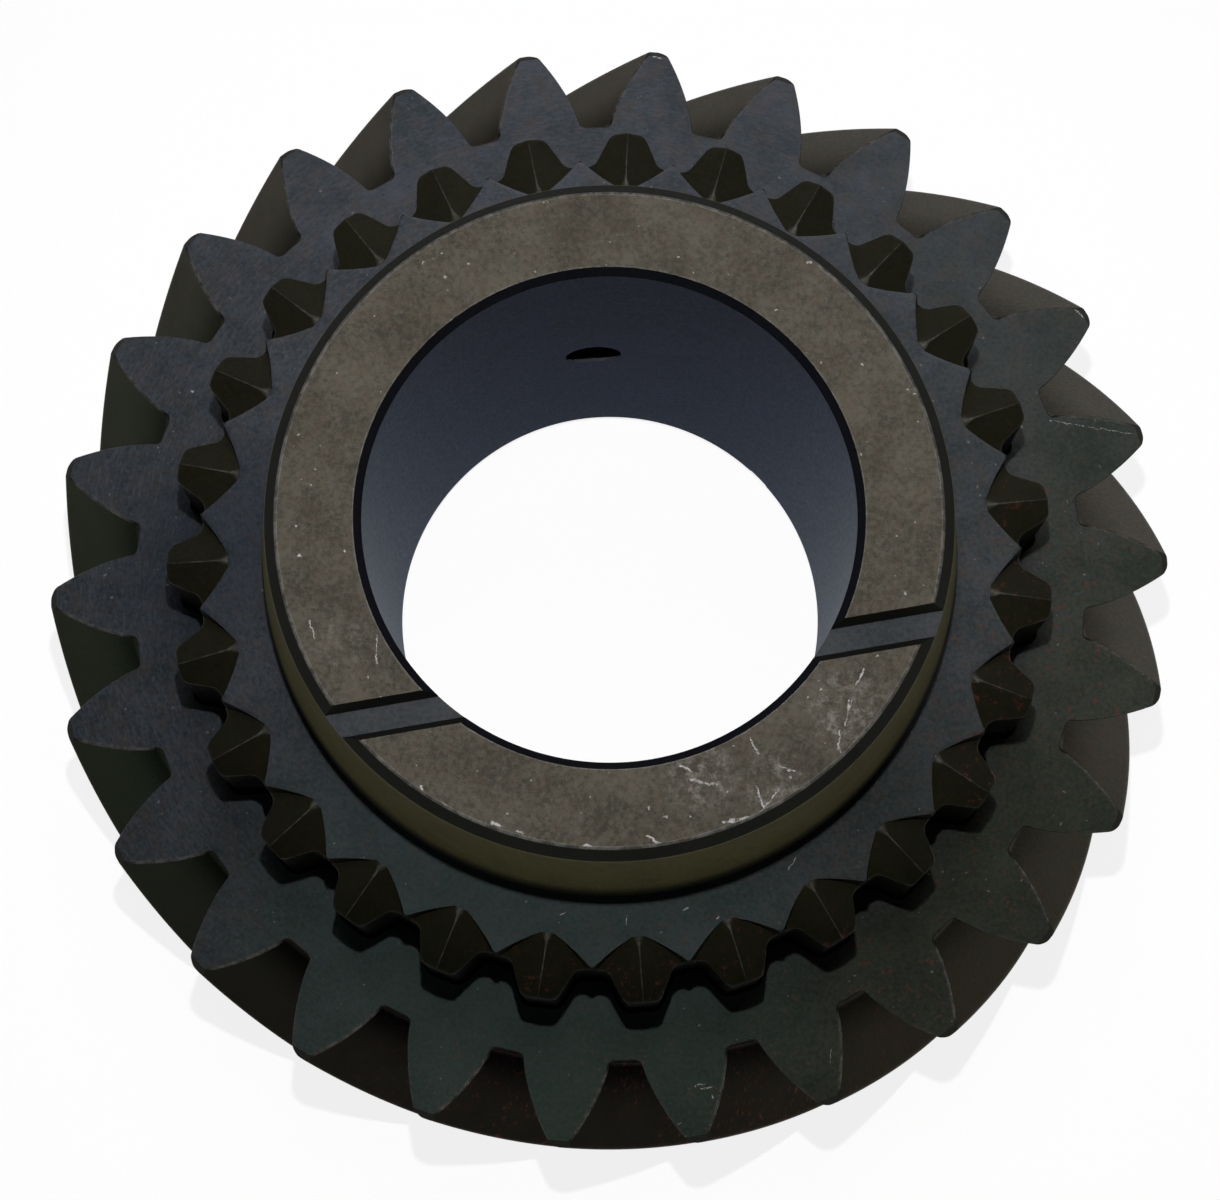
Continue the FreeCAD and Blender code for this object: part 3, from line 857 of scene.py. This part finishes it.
def steel(name, dark, light, roughness, metal, **marks):
    """Dark gear steel: mottled between two colours, with the marks that the caller names.

    contrast: half width of the mottling's soft threshold
    tint: second hue in soft patches, with its share
    olive: pair of colours that the far right drifts to
    low: heights where a lower colour is full and where it ends, and its pair of colours; on the
    cone this is painted shade at its foot
    fade: painted shade, as the share of the brightness lost at the near edge, and how far that edge
    leans to the left
    root_shade: share of the brightness lost to painted shade at the tooth roots
    rings: strength of the turning marks, which follow the distance from the bore axis, and of their
    painted highlight towards the upper left
    rust, dust, wear: strength of rust specks, pale specks and bright edges, partly rubbed metal and
    partly painted highlight
    stains: wide soft patches, each with its centre, reach, colour and share; on the flanks they are
    painted shade
    smudges: pale clouds, each with its centre, reach and share
    scratches: strokes, each with its start, end and half width; bare: their colour
    edge: screen colour of the grazing reflection
    """
    material = bpy.data.materials.new(name)
    nodes = Nodes(material)
    spot = Spot(nodes)
    grain = nodes.noise(spot.metric, 2.6, 4.0, 0.7)
    colour = mottled(nodes, spot, grain, dark, light, marks)
    rings = turning_marks(nodes, spot)
    ring_strength = marks.get("rings", 0.0)
    # Painted highlight: the turning marks get a paler colour towards the upper left, where light
    # grazes them
    if ring_strength:
        upper_left = nodes.between(spot.lower_right, 30.0, -60.0, 0.12, 1.0)
        bright_ring = nodes.product(nodes.between(rings, 0.46, 0.66), upper_left)
        lighter = tuple(min(1.0, 2.0 * part) for part in light[:3]) + (1.0,)
        colour = nodes.mix(nodes.product(bright_ring, ring_strength), colour, lighter)
    colour = soiled(nodes, spot, colour, marks)
    colour = scratched(nodes, spot, colour, marks)
    # Bright edges: partly rubbed metal, partly painted highlight on edges that catch the light
    if "wear" in marks:
        worn = nodes.add("ShaderNodeAttribute", attribute_name="wear").outputs["Fac"]
        chips = nodes.between(nodes.noise(spot.metric, 1.3, 5.0, 0.7), 0.4, 0.64, 0.35, 1.0)
        amount = nodes.product(nodes.product(worn, chips), marks["wear"])
        colour = nodes.mix(amount, colour, WORN_EDGE)

    relief = nodes.math("MULTIPLY_ADD", rings, ring_strength + 0.05, nodes.product(grain, 0.6))
    bump = nodes.add("ShaderNodeBump", {"Height": relief, "Strength": 0.5, "Distance": BUMP_DEPTH})
    gloss = nodes.between(grain, 0.3, 0.7, roughness - 0.06, roughness + 0.08)
    shader = nodes.add(
        "ShaderNodeBsdfPrincipled",
        {
            "Base Color": colour,
            "Metallic": metal,
            "Specular IOR Level": 0.2,
            "Specular Tint": paint(*marks.get("edge", (255, 255, 255))),
            "Roughness": gloss,
            "Normal": bump.outputs[0],
        },
    )
    nodes.add("ShaderNodeOutputMaterial", {"Surface": shader.outputs[0]})
    return material


# Scratches and light specks in plan millimetres: start, end and half width
END_FACE_MARKS = [
    ((11.5, -22.0), (12.1, -23.8), 0.08),
    ((13.2, -22.4), (11.5, -24.5), 0.09),
    ((11.5, -24.5), (8.9, -24.9), 0.16),
    ((20.2, -12.7), (19.6, -13.9), 0.07),
    ((19.0, -15.2), (18.6, -17.2), 0.06),
    ((18.2, -17.7), (18.0, -19.2), 0.06),
    ((5.4, -20.3), (6.4, -20.8), 0.1),
    ((6.2, -21.5), (8.4, -21.9), 0.13),
    ((11.0, -18.2), (11.7, -19.4), 0.07),
    ((13.0, -20.3), (14.6, -20.9), 0.07),
    ((2.9, -25.9), (4.0, -26.7), 0.1),
    ((-2.0, -26.66), (-1.65, -26.7), 0.2),
    ((-24.0, -8.5), (-23.6, -9.9), 0.06),
    ((-18.6, -9.7), (-18.6, -12.0), 0.06),
    ((-24.95, -3.2), (-24.85, -3.2), 0.16),
    ((-25.2, -0.85), (-25.15, -0.8), 0.11),
    ((-21.3, -2.9), (-21.25, -2.9), 0.11),
    ((13.6, 16.9), (13.65, 16.9), 0.1),
    ((19.8, -13.4), (20.0, -13.0), 0.11),
    ((19.2, -15.2), (18.9, -16.0), 0.08),
    ((18.0, -18.9), (18.2, -19.4), 0.1),
    ((16.8, -14.3), (16.7, -14.4), 0.1),
    ((-15.0, -22.0), (-14.9, -22.0), 0.16),
    ((-13.5, -23.3), (-13.0, -23.5), 0.16),
    ((-12.5, -23.9), (-11.6, -24.4), 0.12),
    ((-9.3, -24.8), (-8.9, -25.0), 0.18),
    ((-7.5, -25.5), (-6.9, -25.6), 0.12),
]
# Pale clouds on the end face: centre, reach and share
END_FACE_SMUDGES = [
    ((18.8, -16.0), 4.2, 0.5),
    ((7.2, -21.2), 3.6, 0.5),
    ((13.2, -22.0), 3.6, 0.4),
    ((-21.0, -10.5), 3.6, 0.2),
]
# Scratches on the ring face and the tooth faces
RING_AND_TOOTH_MARKS = [
    ((14.9, -27.2), (15.6, -26.2), 0.05),
    ((40.0, 14.6), (47.7, 13.2), 0.035),
    ((42.6, 25.1), (43.5, 24.1), 0.09),
    ((7.3, -44.8), (8.0, -44.7), 0.08),
    ((7.8, -45.1), (8.6, -45.0), 0.07),
    ((8.6, -45.6), (8.8, -46.0), 0.06),
    ((6.7, -49.3), (6.9, -49.4), 0.08),
    ((19.1, -41.8), (19.0, -42.9), 0.05),
    ((-37.9, 17.8), (-37.8, 17.7), 0.1),
    ((-36.8, 26.1), (-36.8, 26.0), 0.09),
    ((4.1, 49.7), (5.0, 49.2), 0.12),
    ((1.3, -31.0), (1.2, -31.8), 0.05),
    ((6.0, -30.5), (6.4, -30.3), 0.08),
    ((8.9, -31.0), (8.9, -31.1), 0.08),
    ((-4.3, -30.9), (-3.9, -30.7), 0.08),
]


def gear_finishes():
    """The gear's materials, in the order of FINISHES."""
    olive_web = (paint(44, 50, 41), paint(65, 68, 58))
    brown = paint(84, 70, 62)
    dark_edge = (110, 112, 104)
    # Darker bluish patch at the left, paler teal patch at the front, darker olive patch at the
    # lower right
    web_stains = [
        ((-34.5, 2.0), 12.5, paint(26, 36, 48), 0.42),
        ((-8.0, -34.0), 30.0, paint(64, 84, 78), 0.35),
        ((32.0, -27.0), 20.0, paint(30, 34, 22), 0.3),
    ]
    return [
        steel(
            "ground_end_face",
            paint(64, 62, 54),
            paint(98, 94, 84),
            roughness=0.55,
            metal=0.5,
            contrast=0.14,
            tint=(paint(90, 76, 64), 0.25),
            dust=0.8,
            wear=0.7,
            scratches=END_FACE_MARKS,
            bare=paint(186, 183, 180),
            smudges=END_FACE_SMUDGES,
        ),
        steel(
            "turned_chamfer",
            paint(23, 24, 20),
            paint(30, 31, 27),
            roughness=0.6,
            metal=0.4,
            edge=dark_edge,
            wear=0.45,
        ),
        steel(
            "friction_cone",
            paint(73, 71, 46),
            paint(86, 84, 57),
            roughness=0.5,
            metal=0.6,
            edge=(146, 142, 110),
            wear=0.3,
            # Painted shade: the cone darkens towards its foot
            low=((36.2, 39.5), (paint(22, 20, 12), paint(30, 28, 18))),
        ),
        steel(
            "blued_web",
            paint(47, 53, 57),
            paint(73, 77, 84),
            roughness=0.46,
            metal=0.6,
            contrast=0.16,
            olive=olive_web,
            tint=(brown, 0.25),
            stains=web_stains,
            # painted shade towards the near edge
            fade=(0.32, 0.7),
            rings=0.16,
            dust=0.25,
            wear=0.15,
            rust=0.8,
            scratches=RING_AND_TOOTH_MARKS,
        ),
        steel(
            "tooth_flank",
            paint(51, 51, 48),
            paint(67, 66, 62),
            roughness=0.36,
            metal=0.9,
            edge=(182, 180, 176),
            tint=(paint(70, 58, 53), 0.3),
            # Painted shade: darker patches on the flanks at the left and the lower right, the left
            # one also greener
            stains=[
                ((-46.0, 0.0), 42.0, paint(34, 44, 34), 0.5),
                ((36.0, -32.0), 26.0, paint(30, 30, 22), 0.6),
            ],
            # painted shade towards the near edge
            fade=(0.82, 0.5),
            # painted shade at the tooth roots
            root_shade=0.7,
            wear=0.12,
            rust=0.5,
        ),
        steel(
            "tooth_tip",
            paint(20, 20, 16),
            paint(28, 28, 22),
            roughness=0.6,
            metal=0.4,
            wear=0.3,
        ),
        steel(
            "dog_roof",
            paint(25, 25, 16),
            paint(35, 34, 23),
            roughness=0.45,
            metal=0.4,
            # painted shade towards the near edge
            fade=(0.8, 0.2),
            wear=0.3,
            rust=0.5,
        ),
        # Painted shade: dog walls and ridge steps far darker than the roofs, for the shade they
        # stand in
        steel(
            "dog_wall",
            paint(11, 10, 7),
            paint(17, 15, 10),
            roughness=0.6,
            metal=0.5,
            edge=(80, 76, 60),
            wear=0.15,
        ),
        steel(
            "bore_wall",
            paint(41, 49, 57),
            paint(53, 62, 71),
            roughness=0.38,
            metal=0.84,
            edge=(116, 133, 152),
            dust=0.2,
        ),
        steel(
            "bore_mouth",
            paint(16, 17, 20),
            paint(22, 23, 28),
            roughness=0.6,
            metal=0.4,
            edge=(80, 82, 104),
        ),
        steel(
            "milled_opening",
            paint(20, 20, 18),
            paint(28, 28, 25),
            roughness=0.6,
            metal=0.4,
            edge=dark_edge,
            low=((48.8, 48.83), (paint(47, 51, 53), paint(69, 71, 74))),
        ),
    ]


def build_gear():
    """The gear's skin with its openings and finishes, standing for the solid in the frame."""
    mesh = gear_mesh()
    gear = bpy.data.objects.new("gear", mesh)
    bpy.context.scene.collection.objects.link(gear)
    for material in gear_finishes():
        mesh.materials.append(material)
    cut_openings(gear)
    gear.data.polygons.foreach_set("use_smooth", np.ones(len(gear.data.polygons), bool))
    gear.data.set_sharp_from_angle(angle=SHARP_ANGLE)
    flats = gear.modifiers.new("flat_faces_stay_flat", "WEIGHTED_NORMAL")
    flats.keep_sharp = True
    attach(gear, "root")
    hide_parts(NODE)


def pale_floor():
    """A wide flat floor, white to the camera except where the gear shades it."""
    mesh = bpy.data.meshes.new("floor")
    corners = [(x * FLOOR_SPAN, y * FLOOR_SPAN) for x, y in ((-1, -1), (1, -1), (1, 1), (-1, 1))]
    mesh.from_pydata([(x, y, -FLOOR_DEPTH) for x, y in corners], [], [(0, 1, 2, 3)])
    floor = bpy.data.objects.new("floor", mesh)
    bpy.context.scene.collection.objects.link(floor)
    material = bpy.data.materials.new("pale_floor")
    nodes = Nodes(material)
    path = nodes.add("ShaderNodeLightPath")
    seen = nodes.math("MAXIMUM", path.outputs["Is Camera Ray"], path.outputs["Is Glossy Ray"])
    seen = nodes.math("MAXIMUM", seen, path.outputs["Is Transmission Ray"])
    matte = nodes.add("ShaderNodeBsdfDiffuse", {"Color": (0.93, 0.93, 0.93, 1.0)})
    glow = nodes.add("ShaderNodeEmission", {"Color": WHITE, "Strength": 1.0})
    share = nodes.math("MULTIPLY", seen, FLOOR_GLOW)
    mixed = nodes.add("ShaderNodeMixShader", {0: share, 1: matte.outputs[0], 2: glow.outputs[0]})
    nodes.add("ShaderNodeOutputMaterial", {"Surface": mixed.outputs[0]})
    mesh.materials.append(material)


def studio():
    """A sky, soft panels behind and to the left, and one small light near the camera.

    The sky is brightest at the horizon and nearly dark overhead. The small light casts the
    crisp shadows and is left out of reflections.
    """
    world = bpy.data.worlds.new("studio")
    bpy.context.scene.world = world
    nodes = Nodes(world)
    direction = nodes.add("ShaderNodeTexCoord").outputs["Generated"]
    rise = nodes.add("ShaderNodeSeparateXYZ", {0: direction}).outputs[2]
    strength = nodes.between(rise, 0.0, SKY_FALL, HORIZON, ZENITH)
    sky = nodes.add("ShaderNodeBackground", {"Color": WHITE, "Strength": strength})
    nodes.add("ShaderNodeOutputWorld", {"Surface": sky.outputs[0]})
    panel_light("back_panel", (0.08, 0.62, 0.98), 0.7, PANEL_WATTS)
    panel_light("side_panel", (-0.8, 0.25, 0.4), 0.5, SIDE_WATTS)
    near = panel_light("near_light", (0.0, 0.004, 0.285), 0.006, NEAR_WATTS)
    near.visible_glossy = False


def panel_light(name, place, width, watts):
    """A round panel that looks at the middle of the gear."""
    lamp = bpy.data.lights.new(name, "AREA")
    lamp.shape = "DISK"
    lamp.size = width
    lamp.energy = watts
    holder = bpy.data.objects.new(name, lamp)
    holder.location = place
    look = Vector((0.0, 0.0, 0.03)) - Vector(place)
    holder.rotation_euler = look.to_track_quat("-Z", "Y").to_euler()
    bpy.context.scene.collection.objects.link(holder)
    return holder


def photo_camera():
    """The camera found from the gear's circles in the photo, which is 1220 pixels wide."""
    focal_pixels = 3020.1
    frame_pixels = 1220
    turn = Vector((0.1788, 0.0005, -0.0060))  # axis times angle, in radians
    lens = bpy.data.cameras.new("camera")
    lens.sensor_fit = "HORIZONTAL"
    lens.sensor_width = 36.0
    lens.lens = focal_pixels * lens.sensor_width / frame_pixels
    lens.clip_start = 0.01
    camera = bpy.data.objects.new("camera", lens)
    camera.location = (0.0, -0.04995, 0.28741)
    camera.rotation_mode = "QUATERNION"
    camera.rotation_quaternion = Quaternion(turn.normalized(), turn.length)
    bpy.context.scene.collection.objects.link(camera)
    bpy.context.scene.camera = camera


build_gear()
pale_floor()
studio()
photo_camera()
bpy.context.scene.view_settings.view_transform = "Standard"
